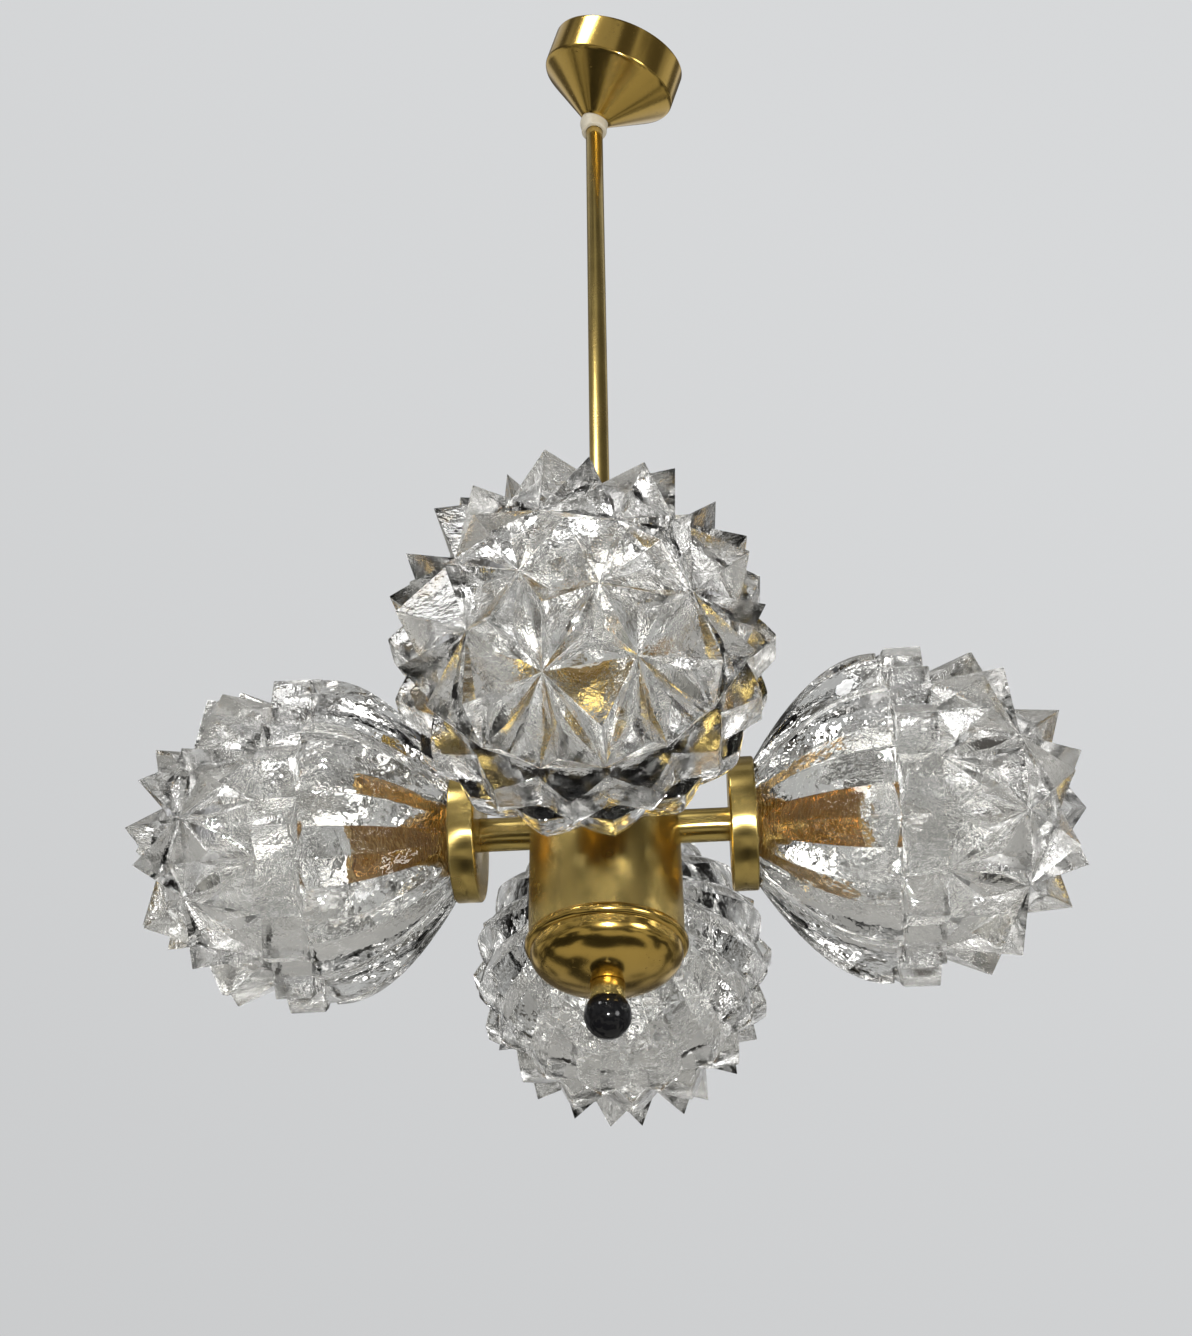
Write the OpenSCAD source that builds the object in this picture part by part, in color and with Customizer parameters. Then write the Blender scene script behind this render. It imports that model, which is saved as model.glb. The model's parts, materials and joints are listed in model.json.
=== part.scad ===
// Four-armed ceiling light: a brass drum on a down rod carries four horizontal arms, each with a flat cup,
// a ribbed lampholder and a pressed glass globe. The origin is the centre of the hanging eye, +Z is up.

/* [Suspension] */
// Height of the hanging eye above the arms
drop = 635; // [300:1:1200]
// Outer radius of the down rod
rod_r = 6; // [5:0.5:8]
// Radius of the hole in the hanging eye
eye_r = 7.5; // [6:0.5:9]
// Thickness of the hanging eye
eye_t = 6; // [4:0.5:8]

/* [Canopy] */
// Outer radius of the canopy
canopy_r = 48; // [44:0.5:60]
// Height of the canopy's cone
cone_h = 29.5; // [26:0.5:45]
// Height of the canopy's straight band
band_h = 25; // [18:0.5:32]
// Depth of the canopy's ball seat below the eye
seat_z = 42; // [40:1:60]
// Tilt of the canopy while it hangs loose
canopy_tilt = 30; // [0:1:33]
// Heading of that tilt, counted from +X
canopy_heading = -45; // [-180:1:180]

/* [Hub] */
// Outer radius of the drum
hub_r = 40; // [32:1:60]
// Height of the drum above the arms
hub_up = 33; // [20:1:60]
// Height of the drum below the arms
hub_down = 72; // [50:1:90]
// Depth of the bottom bowl
dome_h = 17; // [8:1:25]
// Radius of the ball finial
ball_r = 12; // [9:0.5:16]

/* [Arms] */
// Outer radius of the arm tubes
arm_r = 9; // [7:0.5:12]
// Distance from the rod's axis to the back of a cup
cup_u = 66; // [58:1:90]
// Outer radius of a cup
cup_r = 35.5; // [32:0.5:45]
// Depth of a cup
cup_h = 14; // [10:1:20]

/* [Lampholders] */
// Outer radius of a lampholder sleeve
sleeve_r = 19; // [18.5:0.5:22]
// Length of a lampholder sleeve
sleeve_l = 71; // [60:1:80]
// Radius of the lamp cap's bore
socket_r = 13.5; // [13.2:0.1:13.9]
// Number of ribs round a sleeve
rib_n = 14; // [6:1:20]

/* [Glass] */
// Largest radius of a globe, over its points
glass_r = 89.5; // [78:0.5:100]
// Half the length of a globe, from its widest ring to its outer end
glass_l = 94.5; // [80:0.5:110]
// Height of the moulded points
point_h = 9; // [4:0.5:12]
// Wall under the points
glass_t = 3; // [2.5:0.5:6]
// Rows of points from the outer end to the widest ring
point_rows = 6; // [4:1:10]

/* [Hidden] */
$fn = 64;
hex = 6;
slip = 0.08;            // clearance of a piece that slides or screws on another
loose = 0.2;            // clearance of a lead in its hole
play = 0.5;             // room round the glass neck in its cup
wall = 1.5;             // sheet thickness of the hub's pieces
skin = 1;               // sheet thickness of the canopy
edge = 1;               // size of a broken edge
eps = 0.5;              // how far a cutter runs past a face

arm_turns = [-90, 0, 90, 180];      // front, right, back, left
eye_wall = 3.5;
eye_out = eye_r + eye_wall;
shank_r = 7.5;
shank_top = -eye_out + wall;
shank_low = -seat_z + 22;
thread_l = 3;
nut_h = 4;
nut_r = 8;
rod_top = shank_low + thread_l;
rod_bore = 4.2;
rod_low = -drop + 8;
lead_r = 3;
branch_r = 2;
lead_exit_z = rod_top + 2.5;

hole_r = 9.8;                       // the canopy's hole
seat_h = 2.6;                       // the hole's height above the ball's centre
seat_ball = sqrt(hole_r * hole_r + seat_h * seat_h) - 2 * slip;
collar_r = 9;
collar_l = 10;
collar_top = 4;
screw_r = 2;
screw_z = -5.5;

block_in = 12;
block_out = 22;
block_w = 14;
block_low = -23;
block_h = 14;

cap_h = 3;
spigot_h = 4;
spigot_r = hub_r - wall - slip;
rim_r = hub_r + 2;
rim_h = 6;
drum_low = -hub_down + rim_h + slip;
neck_r = 9;
stud_r = 5;
stud_hole_r = stud_r + slip;
coupler_r = 9;
coupler_h = 30;
bowl_r = hub_r - 1;
bowl_top = -hub_down - 2;
bowl_steps = 12;
ball_z = -hub_down - 35.8;
junction_in = 13;
junction_out = 29;
junction_low = -48;

arm_bore = 7;
arm_in = 29;
arm_out = cup_u + 11;
lead_in = arm_in - 6;
hub_nut_u = 31.5;
hub_nut_h = 4.8;
arm_nut_r = 12;
cup_floor = 3;
cup_wall = 1.8;
cup_mouth = cup_u + cup_h;
floor_u = cup_u + cup_floor;
cup_nut_h = 4;
gasket_t = 2;
gasket_r = 27.5;

sleeve_wall = 1.4;
sleeve_floor = 2.5;
rib_d = 0.7;
rib_share = 0.6;                    // how much of the pitch a rib takes
rib_start = floor_u + cup_h;
rib_pitch = (floor_u + sleeve_l - rib_start) / rib_n;
sleeve_bore = sleeve_r - sleeve_wall - rib_d;
insert_u = floor_u + cup_nut_h + sleeve_floor + 1.5;
insert_r = sleeve_bore - 0.3;
bore_u = insert_u + 15;
mouth_u = floor_u + sleeve_l - 1;
contact_r = 5;
contact_h = 3.8;

neck_t = 4.7;
neck_out = cup_r - cup_wall - play;
neck_in = neck_out - neck_t;
glass_u = 160;
glass_low = floor_u + gasket_t;
flare = cup_mouth;
flare_r = neck_out + 1.8;
flare_steps = 8;
bend_out = 1.9;                     // how full the flank is outside
bend_in = 2.1;                      // and inside
row_turn = 90 / point_rows;

// Places a piece drawn along +Z from the rod's axis on the arm that points at a turn from +X.
module on_arm(turn) {
    translate([0, 0, -drop]) rotate([0, 0, turn]) rotate([0, 90, 0]) children();
}

module tube(outer, bore, from, to) {
    difference() {
        translate([0, 0, from]) cylinder(r = outer, h = to - from);
        translate([0, 0, from - eps]) cylinder(r = bore, h = to - from + 2 * eps);
    }
}

module nut(r, bore, from, h) {
    difference() {
        translate([0, 0, from]) cylinder(r = r, h = h, $fn = hex);
        translate([0, 0, from - eps]) cylinder(r = bore, h = h + 2 * eps);
    }
}

// ---- suspension ----

module hanging_eye() {
    color("darkgoldenrod") difference() {
        union() {
            rotate([90, 0, 0]) cylinder(r = eye_out, h = eye_t, center = true);
            translate([0, 0, shank_low]) cylinder(r = shank_r, h = shank_top - shank_low);
        }
        rotate([90, 0, 0]) cylinder(r = eye_r, h = 4 * eye_t, center = true);
        translate([0, 0, shank_low - eps]) cylinder(r = rod_r + slip, h = rod_top - shank_low + eps);
        translate([0, 0, shank_low]) cylinder(r = rod_bore, h = lead_exit_z - shank_low + lead_r);
        translate([0, 0, lead_exit_z]) rotate([0, 0, canopy_heading]) rotate([0, 90, 0])
            cylinder(r = branch_r + loose, h = 2 * shank_r);
    }
}

module eye_locknut() {
    color("darkgoldenrod") nut(nut_r, rod_r + slip, shank_low - nut_h, nut_h);
}

module terminal_block() {
    color("whitesmoke") rotate([0, 0, canopy_heading]) difference() {
        translate([block_in, -block_w / 2, block_low]) cube([block_out - block_in, block_w, block_h]);
        for (side = [-1, 1])
            translate([(block_in + block_out) / 2, side * block_w / 4, block_low + block_h / 2])
                cylinder(r = screw_r, h = block_h);
        translate([block_in - eps, 0, lead_exit_z]) rotate([0, 90, 0])
            cylinder(r = branch_r + loose, h = branch_r + eps);
    }
}

module supply_lead() {
    color("white") {
        translate([0, 0, -drop - coupler_h / 2]) cylinder(r = lead_r, h = lead_exit_z + drop + coupler_h / 2);
        translate([0, 0, lead_exit_z]) {
            sphere(r = lead_r);
            rotate([0, 0, canopy_heading]) rotate([0, 90, 0])
                cylinder(r = branch_r, h = block_in + branch_r / 2);
        }
    }
}

module down_rod() {
    color("goldenrod") tube(rod_r, rod_bore, rod_low, rod_top);
}

module canopy_collar() {
    color("ivory") translate([0, 0, -seat_z]) difference() {
        union() {
            sphere(r = seat_ball);
            translate([0, 0, -collar_l]) cylinder(r = collar_r, h = collar_l);
        }
        translate([0, 0, -collar_l - eps]) cylinder(r = rod_r + slip, h = 2 * collar_l);
        translate([0, 0, collar_top]) cylinder(r = 2 * collar_r, h = collar_r);
        translate([0, 0, screw_z]) rotate([-90, 0, 0]) cylinder(r = screw_r + slip, h = 2 * collar_r);
    }
}

module collar_screw() {
    color("silver") translate([0, 0, screw_z - seat_z]) rotate([-90, 0, 0]) difference() {
        translate([0, 0, rod_r + slip]) cylinder(r = screw_r, h = collar_r - rod_r);
        translate([0, 0, collar_r - screw_r / 2]) cylinder(r = screw_r / 2, h = screw_r, $fn = hex);
    }
}

module canopy_shell() {
    shoulder = seat_h + cone_h;
    lip = seat_h + band_h + cone_h;
    inset = skin * 1.4;                 // the skin's height on the cone
    color("goldenrod") translate([0, 0, -seat_z]) rotate([0, 0, canopy_heading]) rotate([0, canopy_tilt, 0])
        rotate_extrude() polygon([
            [hole_r, seat_h], [canopy_r, shoulder], [canopy_r, lip], [canopy_r - skin, lip],
            [canopy_r - skin, shoulder + skin / 2], [hole_r, seat_h + inset]
        ]);
}

// ---- hub ----

module hub_body() {
    color("goldenrod") difference() {
        translate([0, 0, -drop]) tube(hub_r, hub_r - wall, drum_low, hub_up - cap_h);
        for (turn = arm_turns) on_arm(turn) cylinder(r = arm_r + slip, h = 2 * hub_r);
    }
}

module hub_top_cover() {
    color("goldenrod") translate([0, 0, -drop]) rotate_extrude() polygon([
        [rod_r + slip, hub_up - cap_h], [spigot_r - wall, hub_up - cap_h],
        [spigot_r - wall, hub_up - cap_h - spigot_h], [spigot_r, hub_up - cap_h - spigot_h],
        [spigot_r, hub_up - cap_h], [hub_r, hub_up - cap_h], [hub_r, hub_up - cap_h / 2],
        [hub_r - cap_h / 2, hub_up], [coupler_r, hub_up + cap_h], [rod_r + slip, hub_up + cap_h]
    ]);
}

// Height of the bowl's outside at a radius, and its section from the rim in to the stud's hole.
function bowl_z(r) = bowl_top - dome_h * sqrt(1 - pow(r / bowl_r, 2));
function bowl(r, h) = let (last = acos(stud_hole_r / r))
    [for (i = [0:bowl_steps]) [r * cos(last * i / bowl_steps), bowl_top - h * sin(last * i / bowl_steps)]];

module hub_bottom_cap() {
    half = rim_h / 2;
    rim = [for (a = [-90:15:90]) [rim_r - half + half * cos(a), -hub_down + half - half * sin(a)]];
    under = bowl(bowl_r, dome_h);
    over = bowl(bowl_r - wall, dome_h - wall);
    outline = concat(
        [[spigot_r - wall, drum_low + wall], [spigot_r, drum_low + wall], [spigot_r, drum_low - slip]],
        rim, under, [for (i = [bowl_steps:-1:0]) over[i]]
    );
    color("goldenrod") translate([0, 0, -drop]) rotate_extrude() polygon(outline);
}

module rod_coupler() {
    color("darkgoldenrod") translate([0, 0, -drop]) difference() {
        translate([0, 0, -coupler_h / 2]) cylinder(r = coupler_r, h = hub_up - cap_h + coupler_h / 2);
        translate([0, 0, rod_low + drop]) cylinder(r = rod_r + slip, h = 2 * hub_up);
        translate([0, 0, -coupler_h]) cylinder(r = stud_hole_r, h = 2 * coupler_h);
    }
}

module hub_stud() {
    color("silver") translate([0, 0, -drop]) tube(stud_r, lead_r + loose, ball_z + ball_r / 3, 0);
}

module junction_block() {
    color("whitesmoke") translate([junction_in, -block_w / 2, junction_low - drop])
        cube([junction_out - junction_in, block_w, block_h]);
}

module finial_neck() {
    low = ball_z + ball_r / 2;
    reach = 2 * neck_r;
    color("goldenrod") translate([0, 0, -drop]) difference() {
        translate([0, 0, low]) cylinder(r = neck_r, h = bowl_z(neck_r) - low);
        translate([0, 0, ball_z]) cylinder(r = stud_hole_r, h = hub_down);
        translate([0, 0, ball_z]) sphere(r = ball_r + slip);
        rotate_extrude() polygon(concat(
            [for (i = [0:bowl_steps]) [reach * i / bowl_steps, bowl_z(reach * i / bowl_steps) - slip]],
            [[reach, 0], [0, 0]]
        ));
    }
}

module finial_ball() {
    color("black") translate([0, 0, -drop + ball_z]) difference() {
        sphere(r = ball_r);
        translate([0, 0, ball_r / 3]) cylinder(r = stud_hole_r, h = ball_r);
    }
}

// ---- arms and cups ----

module arm(turn) {
    color("goldenrod") on_arm(turn) tube(arm_r, arm_bore, arm_in, arm_out);
}

module arm_front() { arm(arm_turns[0]); }
module arm_right() { arm(arm_turns[1]); }
module arm_back() { arm(arm_turns[2]); }
module arm_left() { arm(arm_turns[3]); }

module hub_arm_nuts() {
    color("silver") for (turn = arm_turns) on_arm(turn) nut(arm_nut_r, arm_r + slip, hub_nut_u, hub_nut_h);
}

module cup_arm_nuts() {
    color("silver") for (turn = arm_turns) on_arm(turn)
        nut(arm_nut_r, arm_r + slip, floor_u, cup_nut_h - slip);
}

module arm_leads() {
    color("white") for (turn = arm_turns) on_arm(turn) translate([0, 0, lead_in])
        cylinder(r = lead_r, h = arm_out - lead_in);
}

module cup(turn) {
    color("goldenrod") on_arm(turn) rotate_extrude() polygon([
        [arm_r + slip, cup_u], [cup_r - edge, cup_u], [cup_r, cup_u + edge], [cup_r, cup_mouth],
        [cup_r - cup_wall, cup_mouth], [cup_r - cup_wall, floor_u], [arm_r + slip, floor_u]
    ]);
}

module cup_front() { cup(arm_turns[0]); }
module cup_right() { cup(arm_turns[1]); }
module cup_back() { cup(arm_turns[2]); }
module cup_left() { cup(arm_turns[3]); }

module cup_gaskets() {
    color("whitesmoke") for (turn = arm_turns) on_arm(turn)
        tube(neck_out, gasket_r, floor_u, glass_low - slip);
}

// ---- lampholders ----

// The sleeve's outside: plain where the cup hides it, then square ribs to the mouth.
function ribs() = [for (i = [0:rib_n - 1], corner = [0:3])
    [sleeve_r - (corner == 1 || corner == 2 ? 0 : rib_d),
     rib_start + rib_pitch * (i + (corner < 2 ? 0 : rib_share))]];

module lampholder(turn) {
    low = floor_u + cup_nut_h;
    high = floor_u + sleeve_l;
    color("gold") on_arm(turn) rotate_extrude() polygon(concat(
        [[sleeve_bore, high], [sleeve_bore, low + sleeve_floor], [arm_r + slip, low + sleeve_floor],
         [arm_r + slip, low], [sleeve_bore, low], [sleeve_bore, floor_u], [sleeve_r - rib_d, floor_u]],
        ribs(), [[sleeve_r - rib_d, high]]
    ));
}

module lampholder_front() { lampholder(arm_turns[0]); }
module lampholder_right() { lampholder(arm_turns[1]); }
module lampholder_back() { lampholder(arm_turns[2]); }
module lampholder_left() { lampholder(arm_turns[3]); }

module socket(turn) {
    color("whitesmoke") on_arm(turn) difference() {
        translate([0, 0, insert_u]) cylinder(r = insert_r, h = mouth_u - insert_u);
        translate([0, 0, bore_u]) cylinder(r = socket_r, h = mouth_u);
        translate([0, 0, bore_u - contact_h]) cylinder(r = contact_r + slip, h = contact_h + eps);
        translate([0, 0, insert_u - eps]) cylinder(r = branch_r + slip, h = mouth_u);
    }
}

module socket_front() { socket(arm_turns[0]); }
module socket_right() { socket(arm_turns[1]); }
module socket_back() { socket(arm_turns[2]); }
module socket_left() { socket(arm_turns[3]); }

module lamp_contacts() {
    color("gold") for (turn = arm_turns) on_arm(turn) {
        translate([0, 0, bore_u - contact_h + slip]) cylinder(r = contact_r, h = contact_h - 2 * slip);
        translate([0, 0, insert_u]) cylinder(r = branch_r, h = bore_u - insert_u - contact_h / 2);
    }
}

// ---- glass ----

// Radius of the globe at an angle from its outer end: longer towards the end than at the widest ring.
function envelope(a) = glass_r + (glass_l - glass_r) * pow(cos(a), 2);
function at(a, r) = [r * sin(a), glass_u + r * cos(a)];
// A point of the flank, whose share of the way from the widest ring to the neck runs from 0 to 1.
function bell(share, r, r_low, bend) =
    [r_low + (r - r_low) * (1 - pow(share, bend)), glass_u - (glass_u - flare) * share];

module shade(turn) {
    inner_r = glass_r - point_h - glass_t;
    outside = [for (i = [0:point_rows]) each [
        if (i > 0) at(row_turn * (i - 0.5), envelope(row_turn * (i - 0.5)) - point_h),
        at(row_turn * i, envelope(row_turn * i))
    ]];
    flank = [for (i = [1:flare_steps]) bell(i / flare_steps, glass_r - point_h / 2, flare_r, bend_out)];
    neck = [[neck_out, flare], [neck_out, glass_low], [neck_in, glass_low]];
    flank_in = [for (i = [flare_steps:-1:1]) bell(i / flare_steps, inner_r, neck_in, bend_in)];
    inside = [for (a = [90:-7.5:0]) at(a, envelope(a) - point_h - glass_t)];
    color("lightcyan", 0.4) on_arm(turn)
        rotate_extrude() polygon(concat(outside, flank, neck, flank_in, inside));
}

module shade_front() { shade(arm_turns[0]); }
module shade_right() { shade(arm_turns[1]); }
module shade_back() { shade(arm_turns[2]); }
module shade_left() { shade(arm_turns[3]); }

hanging_eye();
eye_locknut();
terminal_block();
supply_lead();
down_rod();
canopy_shell();
canopy_collar();
collar_screw();
hub_top_cover();
hub_body();
hub_bottom_cap();
rod_coupler();
hub_stud();
junction_block();
finial_neck();
finial_ball();
arm_front();
arm_right();
arm_back();
arm_left();
hub_arm_nuts();
cup_arm_nuts();
arm_leads();
cup_front();
cup_right();
cup_back();
cup_left();
cup_gaskets();
lampholder_front();
lampholder_right();
lampholder_back();
lampholder_left();
socket_front();
socket_right();
socket_back();
socket_left();
lamp_contacts();
shade_front();
shade_right();
shade_back();
shade_left();
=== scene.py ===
"""Four-armed brass ceiling light with pressed glass globes, its canopy hanging loose on the rod."""
import json
import math

import bmesh
import bpy
from mathutils import Matrix, Vector


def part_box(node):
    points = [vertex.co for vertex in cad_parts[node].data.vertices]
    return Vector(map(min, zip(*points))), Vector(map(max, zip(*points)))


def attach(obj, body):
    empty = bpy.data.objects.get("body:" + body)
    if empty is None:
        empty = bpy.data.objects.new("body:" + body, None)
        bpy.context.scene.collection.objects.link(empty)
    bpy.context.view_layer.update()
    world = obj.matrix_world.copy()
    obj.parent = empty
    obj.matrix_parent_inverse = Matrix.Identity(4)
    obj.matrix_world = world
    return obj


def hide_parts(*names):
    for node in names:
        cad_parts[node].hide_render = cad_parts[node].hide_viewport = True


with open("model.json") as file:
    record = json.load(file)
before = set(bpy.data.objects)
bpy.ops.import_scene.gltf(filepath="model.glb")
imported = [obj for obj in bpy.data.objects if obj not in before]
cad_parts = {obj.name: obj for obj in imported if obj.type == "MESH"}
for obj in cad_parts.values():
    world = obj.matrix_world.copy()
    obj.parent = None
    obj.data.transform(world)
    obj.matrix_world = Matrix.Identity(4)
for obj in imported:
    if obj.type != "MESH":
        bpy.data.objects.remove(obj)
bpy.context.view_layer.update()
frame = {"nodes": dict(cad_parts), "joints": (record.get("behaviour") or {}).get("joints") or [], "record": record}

MM = 0.001
UP = Vector((0, 0, 1))


# ---- sizes, read from the frame ----

def half_width(node, axis="x"):
    low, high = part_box(node)
    return (getattr(high, axis) - getattr(low, axis)) / 2


def along_arm(node):
    """Where a piece of the right arm starts and ends, from the rod's axis."""
    return [corner.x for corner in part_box(node)]


ARMS_Z = sum(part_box("arm_right"), Vector()).z / 2
HUB_CENTRE = Vector((0, 0, ARMS_Z))
ARM_R = half_width("arm_right", "z")
ARM_START, ARM_STOP = along_arm("arm_right")
CUP_BACK, CUP_MOUTH = along_arm("cup_right")
CUP_R = half_width("cup_right", "z")
SLEEVE_BACK, SLEEVE_MOUTH = along_arm("lampholder_right")
SLEEVE_R = half_width("lampholder_right", "z")
GLOBE_BACK, GLOBE_END = along_arm("shade_right")
GLOBE_R = half_width("shade_right", "z")
HUB_LOW, HUB_HIGH = (corner.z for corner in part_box("hub_body"))
HUB_R = half_width("hub_body")
RIM_R = half_width("hub_bottom_cap")
ROD_R = half_width("down_rod")
BALL_R = half_width("finial_ball")
BALL_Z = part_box("finial_ball")[0].z + BALL_R
ROD_FIT = 0.08 * MM
ARM_FIT = 0.1 * MM
STUD_BORE = 5.1 * MM
SPUN_WALL = 1.5 * MM
IN_PLACE = Matrix.Identity(4)
JOINTS = {joint["name"]: joint for joint in frame["joints"]}
ARM_TURN = {"front": -90, "right": 0, "back": 90, "left": 180}


# ---- shader kit ----

class Wire:
    """A node's output or a plain number, with the arithmetic that materials need."""

    def __init__(self, shader, socket):
        self.shader = shader
        self.socket = socket
        self.node = socket.node

    def _maths(self, operation, *values):
        return self.shader.node("ShaderNodeMath", {"operation": operation}, dict(enumerate(values)))

    def __add__(self, other): return self._maths("ADD", self, other)
    def __radd__(self, other): return self._maths("ADD", other, self)
    def __sub__(self, other): return self._maths("SUBTRACT", self, other)
    def __rsub__(self, other): return self._maths("SUBTRACT", other, self)
    def __mul__(self, other): return self._maths("MULTIPLY", self, other)
    def __rmul__(self, other): return self._maths("MULTIPLY", other, self)
    def __truediv__(self, other): return self._maths("DIVIDE", self, other)


class Shader:
    """A material's or the world's node tree, with one method that adds any node."""

    def __init__(self, tree):
        self.tree = tree
        self.tree.nodes.clear()

    def node(self, kind, settings=None, inputs=None, out=0):
        made = self.tree.nodes.new(kind)
        for name, value in (settings or {}).items():
            if name == "stops":
                self._stops(made.color_ramp, value)
            else:
                setattr(made, name, value)
        for name, value in (inputs or {}).items():
            if isinstance(value, Wire):
                self.tree.links.new(value.socket, made.inputs[name])
            else:
                made.inputs[name].default_value = value
        return Wire(self, made.outputs[out]) if len(made.outputs) else made

    @staticmethod
    def _stops(ramp, stops):
        while len(ramp.elements) < len(stops):
            ramp.elements.new(0.5)
        for element, (place, colour) in zip(ramp.elements, stops):
            element.position = place
            element.color = colour

    def place(self, scale=(1, 1, 1)):
        spot = self.node("ShaderNodeTexCoord", out="Object")
        return self.node("ShaderNodeMapping", {}, {"Vector": spot, "Scale": scale})

    def noise(self, scale, detail=3.0, roughness=0.55, stretch=(1, 1, 1)):
        inputs = {"Vector": self.place(stretch), "Scale": scale, "Detail": detail, "Roughness": roughness}
        return self.node("ShaderNodeTexNoise", {}, inputs, out="Fac")

    def ramp(self, value, stops):
        grey = [(place, (level, level, level, 1)) for place, level in stops]
        return self.node("ShaderNodeValToRGB", {"stops": grey}, {"Fac": value})

    def mix(self, fac, one, two):
        inputs = {"Factor": fac, 6: one, 7: two}
        return self.node("ShaderNodeMix", {"data_type": "RGBA"}, inputs, out=2)

    def bump(self, height, distance, strength=1.0):
        return self.node("ShaderNodeBump", {}, {"Height": height, "Distance": distance, "Strength": strength})


def material(name, build):
    made = bpy.data.materials.new(name)
    made.use_nodes = True
    shader = Shader(made.node_tree)
    surface = shader.node("ShaderNodeBsdfPrincipled", {}, build(shader))
    shader.node("ShaderNodeOutputMaterial", {}, {"Surface": surface})
    return made


def colour(red, green, blue):
    return (red, green, blue, 1.0)


# ---- finishes ----

def satin_brass(shader):
    """Lacquered brass, brushed round, that has gone uneven: soft clouds of tarnish and small dark specks."""
    clouds = shader.noise(38, 4)
    specks = shader.ramp(shader.noise(420, 2, 0.7), [(0.60, 0.0), (0.72, 1.0)])
    patches = shader.ramp(shader.noise(16, 5, 0.65), [(0.45, 0.0), (0.68, 1.0)])
    brush = shader.noise(900, 2, 0.6, (0.12, 0.12, 1.0))
    fresh = shader.mix(clouds, colour(0.52, 0.38, 0.115), colour(0.68, 0.51, 0.175))
    aged = shader.mix(patches * 0.5, fresh, colour(0.34, 0.23, 0.08))
    tint = shader.mix(specks * patches * 0.7, aged, colour(0.16, 0.10, 0.04))
    return {
        "Base Color": tint, "Metallic": 1.0, "Anisotropic": 0.8,
        "Roughness": 0.20 + clouds * 0.08 + patches * 0.05,
        "Normal": shader.bump(brush * 0.4 + clouds, 0.0002, 0.3),
    }


def polished_brass(shader):
    """Brighter spun brass with pits and a darker bloom."""
    clouds = shader.noise(30, 4)
    pits = shader.ramp(shader.noise(520, 2, 0.75), [(0.62, 0.0), (0.70, 1.0)])
    bloom = shader.ramp(shader.noise(55, 4, 0.7), [(0.48, 0.0), (0.66, 1.0)])
    fresh = shader.mix(clouds, colour(0.54, 0.355, 0.085), colour(0.70, 0.475, 0.13))
    tint = shader.mix(bloom * pits * 0.8, fresh, colour(0.13, 0.08, 0.035))
    return {
        "Base Color": tint, "Metallic": 1.0, "Roughness": 0.13 + clouds * 0.08 + bloom * pits * 0.3,
        "Normal": shader.bump(clouds - pits * 0.3, 0.0002, 0.25),
    }


def golden_sleeve(shader):
    """Thin yellow brass of the lampholders."""
    clouds = shader.noise(60, 3)
    return {
        "Base Color": shader.mix(clouds, colour(0.43, 0.275, 0.10), colour(0.65, 0.45, 0.185)),
        "Metallic": 1.0, "Roughness": 0.14 + clouds * 0.1,
    }


def inner_brass(shader):
    """Raw brass of the parts that the canopy hides."""
    clouds = shader.noise(45, 4)
    return {
        "Base Color": shader.mix(clouds, colour(0.50, 0.33, 0.14), colour(0.70, 0.50, 0.24)),
        "Metallic": 1.0, "Roughness": 0.32 + clouds * 0.15,
        "Normal": shader.bump(clouds, 0.0002, 0.4),
    }


def black_gloss(shader):
    """Black moulded knob with a little dust."""
    dust = shader.ramp(shader.noise(300, 3), [(0.55, 0.0), (0.75, 1.0)])
    return {
        "Base Color": shader.mix(dust * 0.25, colour(0.004, 0.004, 0.0045), colour(0.03, 0.028, 0.025)),
        "Roughness": 0.10 + dust * 0.15, "Specular IOR Level": 0.25,
        "Normal": shader.bump(shader.noise(60, 2), 0.0003, 0.15),
    }


def ivory_nylon(shader):
    """Off-white plastic that has greyed."""
    clouds = shader.noise(120, 4)
    return {
        "Base Color": shader.mix(clouds, colour(0.31, 0.28, 0.21), colour(0.43, 0.39, 0.31)),
        "Roughness": 0.42 + clouds * 0.15,
        "Subsurface Weight": 0.08, "Subsurface Radius": (0.004, 0.003, 0.002),
        "Normal": shader.bump(shader.noise(700, 2), 0.0001, 0.3),
    }


def porcelain(shader):
    """White glazed porcelain of the sockets and terminals."""
    clouds = shader.noise(90, 3)
    return {
        "Base Color": shader.mix(clouds, colour(0.80, 0.79, 0.75), colour(0.90, 0.89, 0.86)),
        "Roughness": 0.16 + clouds * 0.12,
        "Normal": shader.bump(clouds, 0.0002, 0.2),
    }


def white_insulation(shader):
    """Plastic cover of the leads."""
    clouds = shader.noise(80, 3)
    return {
        "Base Color": shader.mix(clouds, colour(0.78, 0.77, 0.74), colour(0.88, 0.87, 0.84)),
        "Roughness": 0.5 + clouds * 0.1,
    }


def zinc_steel(shader):
    """Zinc-plated nuts, studs and screws."""
    clouds = shader.noise(110, 3)
    return {
        "Base Color": shader.mix(clouds, colour(0.46, 0.46, 0.45), colour(0.66, 0.65, 0.62)),
        "Metallic": 1.0, "Roughness": 0.3 + clouds * 0.15,
    }


def gasket_rubber(shader):
    """Pale rubber rings between cup and glass."""
    clouds = shader.noise(140, 3)
    return {
        "Base Color": shader.mix(clouds, colour(0.62, 0.61, 0.57), colour(0.74, 0.73, 0.69)),
        "Roughness": 0.7 + clouds * 0.1,
    }


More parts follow.
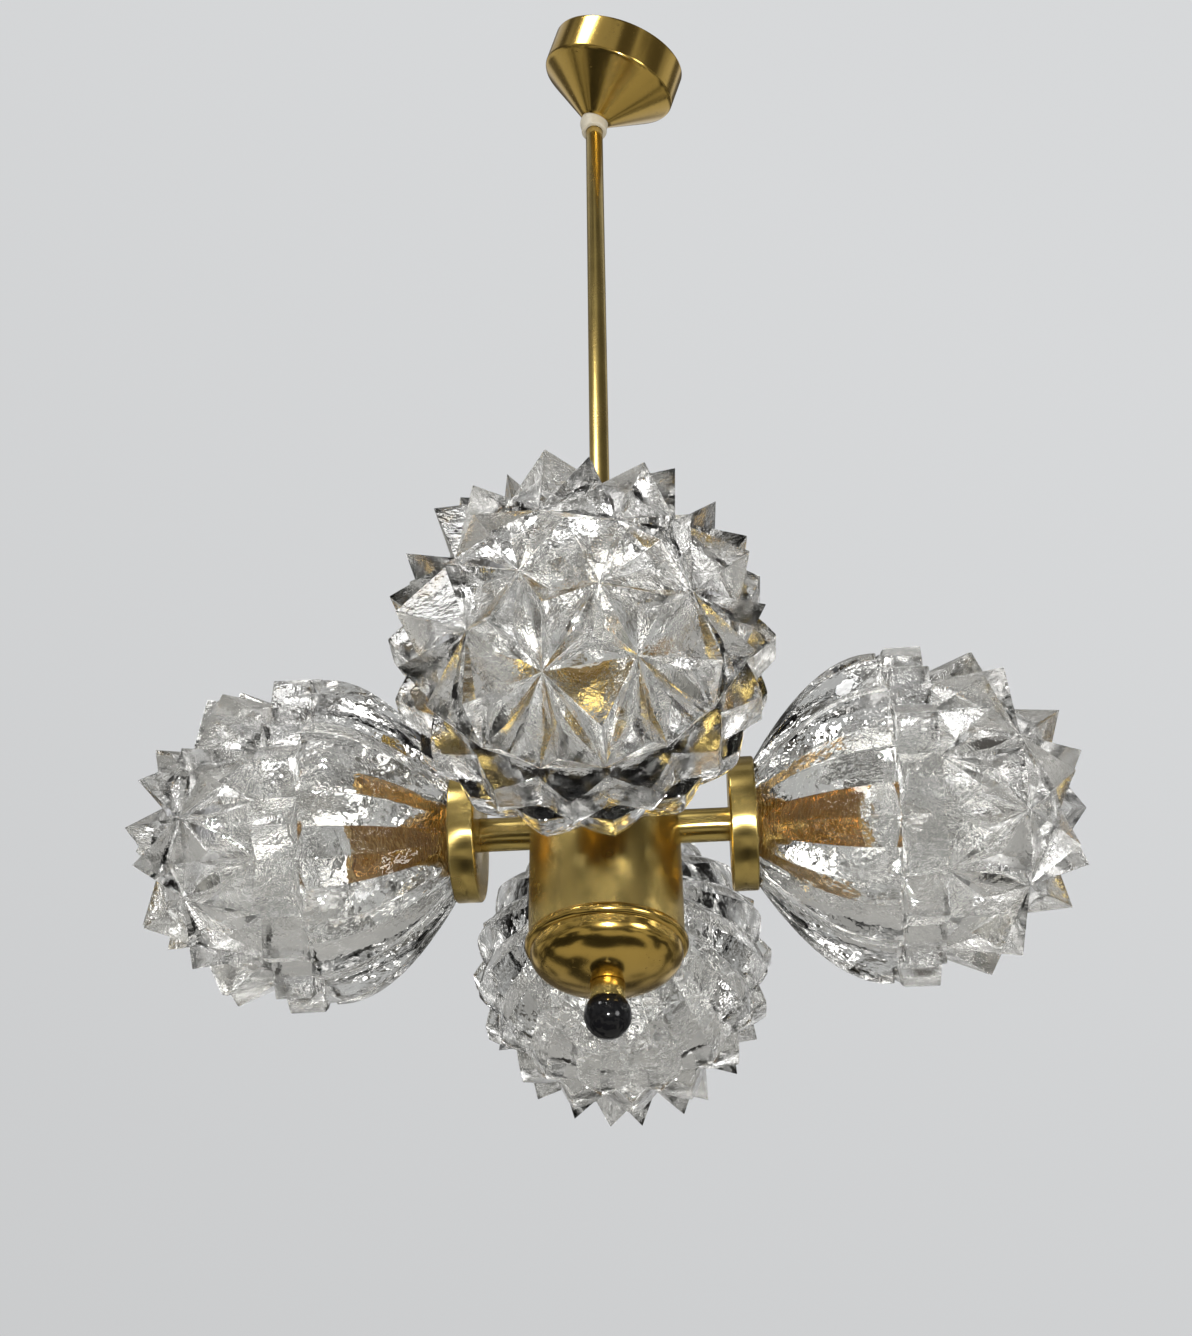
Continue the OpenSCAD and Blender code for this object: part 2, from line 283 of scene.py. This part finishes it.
def crystal_glass(shader):
    """Clear pressed glass: fire-polished but rippled by the mould, with a fine pebbling."""
    spot = shader.node("ShaderNodeTexCoord", out="Object")
    level = shader.node("ShaderNodeVectorMath", {"operation": "MULTIPLY"}, {0: spot, 1: (1, 1, 0)})
    from_rod = shader.node("ShaderNodeVectorMath", {"operation": "LENGTH"}, {0: level}, out="Value")
    rough_end = shader.ramp(from_rod / 0.3, [(0.47, 0.12), (0.53, 1.0)])
    ripple = shader.noise(70, 2, 0.4)
    crinkle = shader.noise(125, 2, 0.5)
    pebble = shader.noise(430, 2, 0.6)
    return {
        "Base Color": colour(0.995, 0.993, 0.98), "Transmission Weight": 1.0, "IOR": 1.5,
        "Roughness": shader.ramp(pebble * rough_end, [(0.35, 0.0), (0.75, 0.03)]),
        "Normal": shader.bump(ripple * 0.6 + crinkle * 0.45 + pebble * rough_end * 0.3, 0.0016, 0.5),
    }


FINISH = {
    build.__name__: material(build.__name__, build)
    for build in (
        satin_brass, polished_brass, golden_sleeve, inner_brass, black_gloss, ivory_nylon, porcelain,
        white_insulation, zinc_steel, gasket_rubber, crystal_glass,
    )
}
SLOT_OF = {row["node"]: row["material_slot"] for row in frame["record"]["subparts"]}
for node_name, node_object in frame["nodes"].items():
    node_object.data.materials.clear()
    node_object.data.materials.append(FINISH[SLOT_OF[node_name]])
    node_object.data.shade_smooth()


# ---- modelling helpers ----

def deselect_all():
    bpy.ops.object.select_all(action="DESELECT")


def place_in_mesh():
    """Moves the active object's place, turn and size into its mesh."""
    bpy.ops.object.transform_apply(location=True, rotation=True, scale=True)


def smooth_by_angle(degrees):
    bpy.ops.object.shade_smooth_by_angle(angle=math.radians(degrees))


def edit_mesh():
    return bmesh.from_edit_mesh(bpy.context.edit_object.data)


def show_edit():
    bmesh.update_edit_mesh(bpy.context.edit_object.data)


def turned(name, outline, sides=96):
    """A piece turned on +Z from the (radius, height) points that run once round its section."""
    deselect_all()
    first_r, first_h = outline[0]
    bpy.ops.mesh.primitive_circle_add(vertices=sides, radius=first_r, location=(0, 0, first_h))
    piece = bpy.context.object
    piece.name = name
    place_in_mesh()
    bpy.ops.object.mode_set(mode="EDIT")
    bpy.ops.mesh.select_all(action="SELECT")
    for (last_r, last_h), (r, h) in zip(outline, outline[1:] + outline[:1]):
        bpy.ops.mesh.extrude_region_move(TRANSFORM_OT_translate={"value": (0, 0, h - last_h)})
        grow = r / last_r
        bpy.ops.transform.resize(value=(grow, grow, 1), center_override=(0, 0, h))
    bpy.ops.mesh.select_all(action="SELECT")
    bpy.ops.mesh.remove_doubles(threshold=0.02 * MM)
    bpy.ops.mesh.normals_make_consistent(inside=False)
    bpy.ops.object.mode_set(mode="OBJECT")
    return piece


def rounded(piece, width, angle=28):
    """Rounds a piece's sharp edges and shades it smooth between them."""
    bevel = piece.modifiers.new("edges", "BEVEL")
    bevel.width = width
    bevel.segments = 3
    bevel.limit_method = "ANGLE"
    bevel.angle_limit = math.radians(angle)
    bevel.use_clamp_overlap = True
    bpy.context.view_layer.objects.active = piece
    deselect_all()
    piece.select_set(True)
    bpy.ops.object.modifier_apply(modifier=bevel.name)
    smooth_by_angle(angle)
    return piece


def settle(piece, matrix, finish, body, *nodes):
    """Moves a finished mesh to its place, gives it its finish and body, and lets it stand for CAD nodes."""
    piece.data.transform(matrix)
    piece.data.materials.clear()
    piece.data.materials.append(FINISH[finish])
    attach(piece, body)
    if nodes:
        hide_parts(*nodes)
    return piece


def copy_of(piece, name):
    made = bpy.data.objects.new(name, piece.data.copy())
    bpy.context.scene.collection.objects.link(made)
    return made


def arm_matrix(side):
    """From a frame with +Z along an arm and +X down, to the arm's own place."""
    turn = Matrix.Rotation(math.radians(ARM_TURN[side]), 4, "Z")
    return Matrix.Translation((0, 0, ARMS_Z)) @ turn @ Matrix.Rotation(math.radians(90), 4, "Y")


def at_height(z):
    return Matrix.Translation((0, 0, z))


def arc(centre_r, centre_h, radius, from_deg, to_deg, steps):
    """Points of a round corner in a section; 0 degrees is outwards and 90 is up."""
    angles = [math.radians(from_deg + (to_deg - from_deg) * i / steps) for i in range(steps + 1)]
    return [(centre_r + radius * math.cos(a), centre_h + radius * math.sin(a)) for a in angles]


# ---- pressed glass globe ----

STAR_PHASE = math.radians(31)
BODY_DROP = 15 * MM
GLOBE_MID = 160 * MM
PETALS = 16
PETAL_CUTS = 5
GLOBE_LENGTH = GLOBE_END - GLOBE_MID
GLASS_WALL = 17.5 * MM
FLANK_BEND = 1.9
INNER_BEND = 2.1
NECK_R = CUP_R - 2.3 * MM
NECK_BORE = NECK_R - 4.7 * MM
BELT_FLOOR = GLOBE_R - 12 * MM
BELT_TOP = GLOBE_MID + 9.5 * MM
BELT_END = GLOBE_MID - 11 * MM
PETAL_R = GLOBE_R - 2.5 * MM
PETAL_START = BELT_END - 4 * MM
PETAL_ROWS = 12
INNER_ROWS = 24
TIP_R = 0.5 * MM
HOLLOW_AREA = 70 * MM * MM
HOLLOW_DEPTH = 3.2 * MM


def envelope(angle):
    """Distance from the globe's middle to the tips of its points, at an angle from its outer end."""
    return GLOBE_R + (GLOBE_LENGTH - GLOBE_R) * math.cos(angle) ** 2


def star_ring(count, degrees):
    """A ring of the low places where the points meet."""
    angle = math.radians(degrees)
    reach = envelope(angle) - BODY_DROP
    bpy.ops.mesh.primitive_circle_add(
        vertices=count, radius=reach * math.sin(angle), location=(0, 0, GLOBE_MID + reach * math.cos(angle)),
        rotation=(0, 0, STAR_PHASE - math.radians(90)),
    )


def pick_faces(test):
    bpy.ops.mesh.select_all(action="DESELECT")
    bpy.ops.mesh.select_mode(type="FACE")
    mesh = edit_mesh()
    for face in mesh.faces:
        face.select_set(test(face))
    show_edit()


def pick_edges(test):
    bpy.ops.mesh.select_all(action="DESELECT")
    bpy.ops.mesh.select_mode(type="EDGE")
    mesh = edit_mesh()
    for edge in mesh.edges:
        edge.select_set(test(edge))
    show_edit()


def block_wave(angle):
    """0 in the valley between two blocks of the belt, 1 along a block's ridge."""
    share = ((angle - STAR_PHASE) * PETALS / math.tau) % 1
    return 1 - abs(2 * share - 1)


def petal_wave(angle):
    """The petals stand between the blocks, each with a ridge along its middle."""
    return (1 - block_wave(angle)) ** 0.85


def petal_point(angle, bend):
    """A point of the flank: bend runs from 0 at the belt to 1 at the neck."""
    depth = 7.5 * MM * (1 - bend ** 3)
    r = NECK_R + (PETAL_R - NECK_R) * (1 - bend ** FLANK_BEND) - depth * (1 - petal_wave(angle))
    return r, PETAL_START - (PETAL_START - CUP_MOUTH) * bend


def next_ring(place):
    """Extrudes the selected ring and puts each new vertex where place(angle) says."""
    bpy.ops.mesh.extrude_region_move(TRANSFORM_OT_translate={"value": (0, 0, -MM)})
    mesh = edit_mesh()
    for vertex in mesh.verts:
        if vertex.select:
            angle = math.atan2(vertex.co.y, vertex.co.x)
            r, u = place(angle)
            vertex.co = (r * math.cos(angle), r * math.sin(angle), u)
    show_edit()


def inner_point(share):
    """The smooth inside wall: share runs from 0 at the neck's rim to 1 at the outer end."""
    if share < 0.5:
        back = 1 - share * 2
        r = NECK_BORE + (GLOBE_R - GLASS_WALL - NECK_BORE) * (1 - back ** INNER_BEND)
        return r, GLOBE_MID - (GLOBE_MID - CUP_MOUTH) * back
    angle = (1 - share) * math.pi
    reach = envelope(angle) - GLASS_WALL
    return max(reach * math.sin(angle), TIP_R), GLOBE_MID + reach * math.cos(angle)


def belt_and_petals():
    """Rows from the star lattice back to the neck: flat-ended blocks, a groove, then the petals."""
    next_ring(lambda a: (BELT_FLOOR + 12 * MM * block_wave(a), BELT_TOP))
    next_ring(lambda a: (BELT_FLOOR + 12 * MM * block_wave(a), BELT_END + 2 * MM))
    next_ring(lambda a: (BELT_FLOOR + (1 + 9 * block_wave(a)) * MM, BELT_END))
    next_ring(lambda a: (BELT_FLOOR + 2 * MM, BELT_END - MM))
    next_ring(lambda a: (PETAL_R - 7 * MM * (1 - petal_wave(a)), PETAL_START + 3 * MM * petal_wave(a)))
    for row in range(PETAL_ROWS + 1):
        next_ring(lambda a: petal_point(a, row / PETAL_ROWS))
    next_ring(lambda a: (NECK_R, CUP_MOUTH - 0.6 * MM))
    next_ring(lambda a: (NECK_R, GLOBE_BACK))
    next_ring(lambda a: (NECK_BORE, GLOBE_BACK))
    for row in range(INNER_ROWS + 1):
        next_ring(lambda a: inner_point(row / INNER_ROWS))
    bpy.ops.mesh.merge(type="CENTER")


def globe():
    """Stands on its neck. A hull round the star lattice is poked up into points; petals and inside follow."""
    deselect_all()
    star_ring(PETALS, 82)
    piece = bpy.context.object
    piece.name = "globe"
    place_in_mesh()
    bpy.ops.object.mode_set(mode="EDIT")
    star_ring(8, 44.5)
    star_ring(4, 18.5)
    bpy.ops.mesh.select_all(action="SELECT")
    flat = math.radians(1)
    bpy.ops.mesh.convex_hull(join_triangles=True, face_threshold=flat, shape_threshold=flat)
    low = min(v.co.z for v in edit_mesh().verts)
    high = max(v.co.z for v in edit_mesh().verts)
    pick_faces(lambda face: all(v.co.z < low + MM for v in face.verts))
    bpy.ops.mesh.delete(type="FACE")
    pick_edges(lambda edge: edge.is_boundary)
    bpy.ops.mesh.subdivide(number_cuts=PETAL_CUTS, ngon=True)

    def kind_of(face):
        above = sum(v.co.z > low + MM for v in face.verts)
        if all(v.co.z > high - MM for v in face.verts):
            return "end"
        if above == 1:
            return "leaf"
        return "long" if above < len(face.verts) else "cap"

    heights = {"end": 18.5 * MM, "leaf": 22 * MM, "long": 24 * MM, "cap": 22 * MM}
    centres = {kind: [] for kind in heights}
    for face in edit_mesh().faces:
        centres[kind_of(face)].append(face.calc_center_median().copy())
    for kind, spots in centres.items():
        pick_faces(lambda face: any((face.calc_center_median() - spot).length < 0.01 * MM for spot in spots))
        bpy.ops.mesh.poke(offset=heights[kind], center_mode="MEDIAN_WEIGHTED")
    pick_faces(lambda face: face.calc_area() > HOLLOW_AREA)
    bpy.ops.mesh.poke(offset=-HOLLOW_DEPTH, center_mode="MEDIAN_WEIGHTED")

    pick_edges(lambda edge: edge.is_boundary)
    belt_and_petals()
    bpy.ops.mesh.select_all(action="SELECT")
    bpy.ops.mesh.remove_doubles(threshold=0.01 * MM)
    bpy.ops.mesh.normals_make_consistent(inside=False)
    pick_edges(lambda edge: edge.is_convex and len(edge.link_faces) == 2
               and edge.calc_face_angle() > math.radians(24) and edge.verts[0].co.z > CUP_MOUTH + MM)
    bpy.ops.mesh.bevel(offset=0.6 * MM, segments=2, affect="EDGES")
    bpy.ops.object.mode_set(mode="OBJECT")
    smooth_by_angle(30)
    return piece


# ---- brass and small pieces ----

def level_section(node, place):
    """The (radius, height) of every corner of a turned CAD node, in the frame where it was turned."""
    back = place.inverted()
    spots = [back @ vertex.co for vertex in frame["nodes"][node].data.vertices]
    return [(math.hypot(spot.x, spot.y), spot.z) for spot in spots]


def canopy():
    """Spun cone and band with a rolled edge, tilted as it rests on its ball seat."""
    tilt = JOINTS["canopy_tilt"]
    lean = Matrix.Rotation(math.radians(-tilt["range_deg"][1]), 4, Vector(tilt["axis"]))
    place = Matrix.Translation(tilt["pos_m"]) @ lean
    corners = level_section("canopy_shell", place)
    hole = min(r for r, h in corners)
    big = max(r for r, h in corners)
    seat = min(h for r, h in corners)
    lip = max(h for r, h in corners)
    shoulder = min(h for r, h in corners if r > big - 0.1 * MM)
    skin, roll, bend = 1.0 * MM, 0.9 * MM, 2.5 * MM
    cone = [(hole + (big - hole) * s, seat + (shoulder - seat) * s) for s in (0.06, 0.15, 0.4, 0.7, 0.93)]
    inside = [
        (hole + (big - skin - hole) * s, seat + 1.4 * skin + (shoulder - seat) * s * 0.985)
        for s in (0.9, 0.5, 0)
    ]
    outline = [(hole, seat)] + cone + arc(big - bend, shoulder + 0.5 * bend, bend, -40, 0, 4)
    outline += [(big, lip - 2 * roll)] + arc(big - roll, lip - roll, roll, 0, 180, 6)
    outline += [(big - skin, lip - 3 * roll), (big - skin, shoulder + 0.6 * MM)] + inside
    piece = rounded(turned("canopy_spun", outline, 128), 0.25 * MM)
    return settle(piece, place, "polished_brass", "canopy", "canopy_shell")


def collar():
    """Off-white plastic ball seat with a rounded lower edge."""
    low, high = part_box("canopy_collar")
    seat = Vector(JOINTS["canopy_tilt"]["pos_m"]).z
    bore = ROD_R + ROD_FIT
    ball_r = half_width("canopy_collar")
    top = math.degrees(math.asin((high.z - seat) / ball_r))
    skirt, soft = 9 * MM, 1.6 * MM
    outline = [(bore, low.z - seat)] + arc(skirt - soft, low.z - seat + soft, soft, -90, 0, 5)
    outline += arc(0, 0, ball_r, -26, top, 10) + [(bore, high.z - seat)]
    piece = rounded(turned("collar_turned", outline), 0.3 * MM)
    return settle(piece, at_height(seat), "ivory_nylon", "collar", "canopy_collar")


def cup():
    """A flat turned cup, with softened edges and the recess that takes the globe's neck."""
    bore = ARM_R + ARM_FIT
    recess = CUP_R - 1.8 * MM
    outline = [
        (bore, CUP_BACK), (CUP_R - 1.2 * MM, CUP_BACK), (CUP_R, CUP_BACK + 1.0 * MM),
        (CUP_R, CUP_MOUTH - 0.8 * MM), (CUP_R - 0.6 * MM, CUP_MOUTH), (recess, CUP_MOUTH),
        (recess, SLEEVE_BACK), (bore, SLEEVE_BACK),
    ]
    return rounded(turned("cup_turned", outline), 0.3 * MM)


def sleeve():
    """A lampholder's sleeve with fine rolled ribs from just in front of the cup to its mouth."""
    ribs = 26
    rib_height, skin, soft = 1.1 * MM, 1.2 * MM, 0.4 * MM
    lip = SLEEVE_MOUTH - 2.6 * MM
    start = CUP_MOUTH + 2 * MM
    pitch = (SLEEVE_MOUTH - 3 * MM - start) / ribs
    core = SLEEVE_R - rib_height
    outline = [(core - skin, SLEEVE_MOUTH), (core - skin, SLEEVE_BACK), (core, SLEEVE_BACK), (core, start)]
    for i in range(ribs):
        for share in (0.2, 0.5, 0.8):
            outline.append((core + rib_height * math.sin(math.pi * share), start + pitch * (i + share)))
        outline.append((core, start + pitch * (i + 1)))
    outline += [(SLEEVE_R, lip), (SLEEVE_R, SLEEVE_MOUTH - soft), (SLEEVE_R - soft, SLEEVE_MOUTH)]
    piece = turned("sleeve_turned", outline, 64)
    smooth_by_angle(40)
    return piece


def bored_drum():
    """The hub's drum with a hole for each arm."""
    inner_r = HUB_R - SPUN_WALL
    drum = [(inner_r, HUB_LOW), (HUB_R, HUB_LOW), (HUB_R, HUB_HIGH), (inner_r, HUB_HIGH)]
    piece = rounded(turned("drum_turned", drum, 128), 0.2 * MM)
    hole, reach = ARM_R + ARM_FIT, 1.5 * HUB_R
    for side in ("front", "right"):
        bore = turned("bore", [(TIP_R, -reach), (hole, -reach), (hole, reach), (TIP_R, reach)], 64)
        bore.data.transform(arm_matrix(side))
        drill = piece.modifiers.new("drill", "BOOLEAN")
        drill.operation = "DIFFERENCE"
        drill.object = bore
        deselect_all()
        bpy.context.view_layer.objects.active = piece
        bpy.ops.object.modifier_apply(modifier=drill.name)
        bpy.data.objects.remove(bore)
    piece.select_set(True)
    smooth_by_angle(30)
    return settle(piece, IN_PLACE, "satin_brass", "frame", "hub_body")


def hub_caps():
    """The bowl below with its rolled rim, and the low cover above."""
    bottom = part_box("hub_bottom_cap")[0].z
    roll = 3 * MM
    bowl_r = HUB_R - MM
    rim_z = HUB_LOW - roll
    bowl_z = rim_z - roll - 2 * MM
    rim = arc(RIM_R - roll, rim_z, roll, 90, -90, 10)
    quarter = [math.radians(degrees) for degrees in range(0, 83, 6)]
    under = [(bowl_r * math.cos(a), bowl_z + (bottom - bowl_z) * math.sin(a)) for a in quarter]
    over = [(r - SPUN_WALL, z + SPUN_WALL) for r, z in under[-2:0:-1]]
    outline = [(HUB_R - roll, HUB_LOW)] + rim + under
    outline += [(STUD_BORE, bottom), (STUD_BORE, bottom + SPUN_WALL)] + over
    piece = rounded(turned("bowl_spun", outline, 128), 0.15 * MM)
    settle(piece, IN_PLACE, "polished_brass", "frame", "hub_bottom_cap")

    low, high = (corner.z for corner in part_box("hub_top_cover"))
    bore = ROD_R + ROD_FIT
    flat_r = ROD_R + 4 * MM
    spigot = HUB_R - 1.6 * MM
    soft = 1.5 * MM
    shoulder = high - 4.5 * MM
    outline = [(spigot - SPUN_WALL, low), (spigot, low), (spigot, HUB_HIGH), (HUB_R, HUB_HIGH)]
    outline += arc(HUB_R - soft, shoulder, soft, 0, 80, 4) + [(flat_r, high), (bore, high)]
    outline += [(bore, HUB_HIGH), (spigot - SPUN_WALL, HUB_HIGH)]
    piece = rounded(turned("cover_spun", outline, 128), 0.2 * MM)
    settle(piece, IN_PLACE, "polished_brass", "frame", "hub_top_cover")


def finial():
    """A short turned neck and the black ball under it."""
    low, high = (corner.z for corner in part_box("finial_neck"))
    neck = half_width("finial_neck")
    outline = [(STUD_BORE, high), (neck, high), (neck, low), (STUD_BORE, low)]
    piece = rounded(turned("neck_turned", outline, 64), 0.4 * MM)
    settle(piece, IN_PLACE, "satin_brass", "frame", "finial_neck")

    top = math.degrees(math.acos(STUD_BORE / BALL_R))
    hole_end = BALL_R / 3
    outline = [(TIP_R, -BALL_R)] + arc(0, 0, BALL_R, -86, top, 40)
    outline += [(STUD_BORE, hole_end), (TIP_R, hole_end)]
    piece = turned("ball_turned", outline)
    smooth_by_angle(40)
    settle(piece, at_height(BALL_Z), "black_gloss", "frame", "finial_ball")


def tube(name, outer, bore, low, high):
    outline = [(bore, low), (outer, low), (outer, high), (bore, high)]
    return rounded(turned(name, outline, 64), 0.3 * MM)


def rod_and_arms():
    """The down rod and four arms, all plain tubes with softened ends."""
    low, high = (corner.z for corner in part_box("down_rod"))
    settle(tube("rod_tube", ROD_R, 4.2 * MM, low, high), IN_PLACE, "satin_brass", "frame", "down_rod")
    first = tube("arm_tube", ARM_R, 7 * MM, ARM_START, ARM_STOP)
    for side in ARM_TURN:
        settle(copy_of(first, f"arm_tube_{side}"), arm_matrix(side), "satin_brass", "frame", f"arm_{side}")
    bpy.data.objects.remove(first)


def eye():
    """The eye that the hook goes through, on a threaded shank with its locknut."""
    low, high = (corner.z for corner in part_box("hanging_eye"))
    hole = high - 3.5 * MM
    thick = 3 * MM
    sleeve_bore = ROD_R + 0.1 * MM
    ring = [(hole, -thick), (high, -thick), (high, thick), (hole, thick)]
    piece = rounded(turned("eye_ring", ring, 64), 1.0 * MM)
    piece.data.transform(Matrix.Rotation(math.radians(90), 4, "X"))
    settle(piece, IN_PLACE, "inner_brass", "frame")
    shank = tube("eye_shank", half_width("hanging_eye", "y"), sleeve_bore, low, -high + 1.5 * MM)
    settle(shank, IN_PLACE, "inner_brass", "frame")
    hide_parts("hanging_eye")

    low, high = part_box("eye_locknut")
    hexagon = [(sleeve_bore, low.z), (high.x, low.z), (high.x, high.z), (sleeve_bore, high.z)]
    nut = rounded(turned("locknut_hexagon", hexagon, 6), 0.4 * MM)
    settle(nut, Matrix.Rotation(math.radians(-30), 4, "Z"), "inner_brass", "frame", "eye_locknut")


# ---- make everything ----

first_globe = globe()
for side in ARM_TURN:
    piece = copy_of(first_globe, f"glass_globe_{side}")
    settle(piece, arm_matrix(side), "crystal_glass", f"shade_{side}", f"shade_{side}")
bpy.data.objects.remove(first_globe)

first_cup = cup()
first_sleeve = sleeve()
for side in ARM_TURN:
    settle(copy_of(first_cup, f"turned_cup_{side}"), arm_matrix(side), "satin_brass", "frame", f"cup_{side}")
    piece = copy_of(first_sleeve, f"ribbed_sleeve_{side}")
    settle(piece, arm_matrix(side), "golden_sleeve", "frame", f"lampholder_{side}")
bpy.data.objects.remove(first_cup)
bpy.data.objects.remove(first_sleeve)
canopy()
collar()
bored_drum()
hub_caps()
finial()
rod_and_arms()
eye()


# ---- stage ----

def floor():
    """A plain pale floor far below. Its colour is painted per ray: reflected rays see painted reflections in dark
    and mid-grey patches, standing in for a furnished room, and rays through glass see a flat painted grey.
    """
    deselect_all()
    bpy.ops.mesh.primitive_circle_add(vertices=96, radius=9, fill_type="NGON", location=(0, 0, -2.1))
    plane = bpy.context.object
    plane.name = "floor"
    place_in_mesh()

    def paint(shader):
        clouds = shader.noise(3, 2)
        pale = shader.mix(clouds, colour(0.66, 0.65, 0.62), colour(0.76, 0.75, 0.72))
        # Painted reflections: the patches and the flat grey below are colour that only reflected rays and rays
        # through glass see, not the floor's own pale colour.
        rays = shader.node("ShaderNodeLightPath").node.outputs
        patches = shader.ramp(shader.noise(1.1, 1), [(0.48, 0.0), (0.51, 1.0)])
        painted_reflection_colour = shader.mix(patches, colour(0.01, 0.01, 0.009), colour(0.38, 0.37, 0.33))
        mirrored = shader.mix(Wire(shader, rays["Is Glossy Ray"]), pale, painted_reflection_colour)
        seen = shader.mix(Wire(shader, rays["Is Transmission Ray"]), mirrored, colour(0.34, 0.335, 0.32))
        return {"Base Color": seen, "Roughness": 0.8}

    plane.data.materials.append(material("pale_floor", paint))


def studio():
    """A pale wall seen straight on. Brass mirrors darker bands; glass shows flecks and bright spots."""
    world = bpy.data.worlds.new("studio")
    bpy.context.scene.world = world
    world.use_nodes = True
    shader = Shader(world.node_tree)
    way = shader.node("ShaderNodeTexCoord", out="Generated")
    split = shader.node("ShaderNodeSeparateXYZ", {}, {"Vector": way}).node
    across, behind, height = (Wire(shader, split.outputs[axis]) for axis in "XYZ")
    seen = shader.mix(
        shader.ramp(height * 0.5 + across * 0.25 + 0.5, [(0.25, 0.0), (0.9, 1.0)]),
        colour(0.52, 0.525, 0.53), colour(0.68, 0.69, 0.70),
    )
    drawn = shader.node("ShaderNodeMapping", {}, {"Vector": way, "Scale": (1, 1, 0.35)})

    def clouds(vector, scale, detail, roughness=0.5):
        inputs = {"Vector": vector, "Scale": scale, "Detail": detail, "Roughness": roughness}
        return shader.node("ShaderNodeTexNoise", {}, inputs, out="Fac")

    bands = clouds(drawn, 2.7, 1.5, 0.4)
    spots = clouds(way, 11.0, 0.0)
    flecks = clouds(way, 7.0, 3.0)
    near = shader.ramp(behind, [(0.0, 1.0), (0.45, 0.0)])
    pale = colour(0.44, 0.445, 0.44)
    soft = colour(0.92, 0.92, 0.91)
    gloom = colour(0.05, 0.045, 0.036)
    through = shader.mix(shader.ramp(flecks, [(0.515, 0.0), (0.54, 0.95)]), pale, gloom)
    through = shader.mix(near * 0.12, through, gloom)
    through = shader.mix(shader.ramp(spots, [(0.71, 0.0), (0.73, 1.0)]), through, colour(7.0, 6.9, 6.7))
    mirrored = shader.mix(shader.ramp(bands, [(0.44, 0.0), (0.54, 0.92)]), seen, gloom)
    mirrored = shader.mix(near * 0.4, mirrored, gloom)
    rays = shader.node("ShaderNodeLightPath").node.outputs
    room = shader.mix(Wire(shader, rays["Is Glossy Ray"]), soft, mirrored)
    room = shader.mix(Wire(shader, rays["Is Transmission Ray"]), room, through)
    light = shader.mix(Wire(shader, rays["Is Camera Ray"]), room, seen)
    ground = shader.node("ShaderNodeBackground", {}, {"Color": light, "Strength": 1.0})
    shader.node("ShaderNodeOutputWorld", {}, {"Surface": ground})


def lamp(name, place, size, watts):
    """A round soft lamp aimed at the middle of the hub."""
    light = bpy.data.lights.new(name, "AREA")
    light.shape = "DISK"
    light.size = size
    light.energy = watts
    made = bpy.data.objects.new(name, light)
    made.location = place
    made.rotation_euler = (HUB_CENTRE - Vector(place)).to_track_quat("-Z", "Y").to_euler()
    bpy.context.scene.collection.objects.link(made)


def camera():
    """Below and in front, looking up at the globes with the canopy at the top of the frame."""
    pitch, heading, roll = math.radians(36.4), math.radians(3.61), math.radians(-0.74)
    distance, aside, above = 1.057, -0.00368, 0.10679
    level = math.cos(pitch)
    back = Vector((math.sin(heading) * level, -math.cos(heading) * level, -math.sin(pitch)))
    right = (-back).cross(UP).normalized()
    over = right.cross(-back)
    across = right * math.cos(roll) + over * math.sin(roll)
    upward = over * math.cos(roll) - right * math.sin(roll)
    data = bpy.data.cameras.new("camera")
    data.sensor_fit = "VERTICAL"
    data.sensor_height = 36
    data.lens = 50.40808
    made = bpy.data.objects.new("camera", data)
    place = HUB_CENTRE + back * distance + right * aside + UP * above
    made.matrix_world = Matrix.Translation(place) @ Matrix((across, upward, back)).transposed().to_4x4()
    bpy.context.scene.collection.objects.link(made)
    bpy.context.scene.camera = made
    return place


eye_place = camera()
floor()
studio()
lamp("key", (-1.3, -1.95, 1.35), 1.0, 36)
lamp("fill", (2.2, -1.8, -1.2), 1.0, 25)
lamp("flash", eye_place + Vector((0.04, -0.05, 0.09)), 0.09, 12)
bpy.context.scene.view_settings.view_transform = "Standard"
bpy.context.scene.cycles.max_bounces = 24
bpy.context.scene.cycles.transmission_bounces = 24
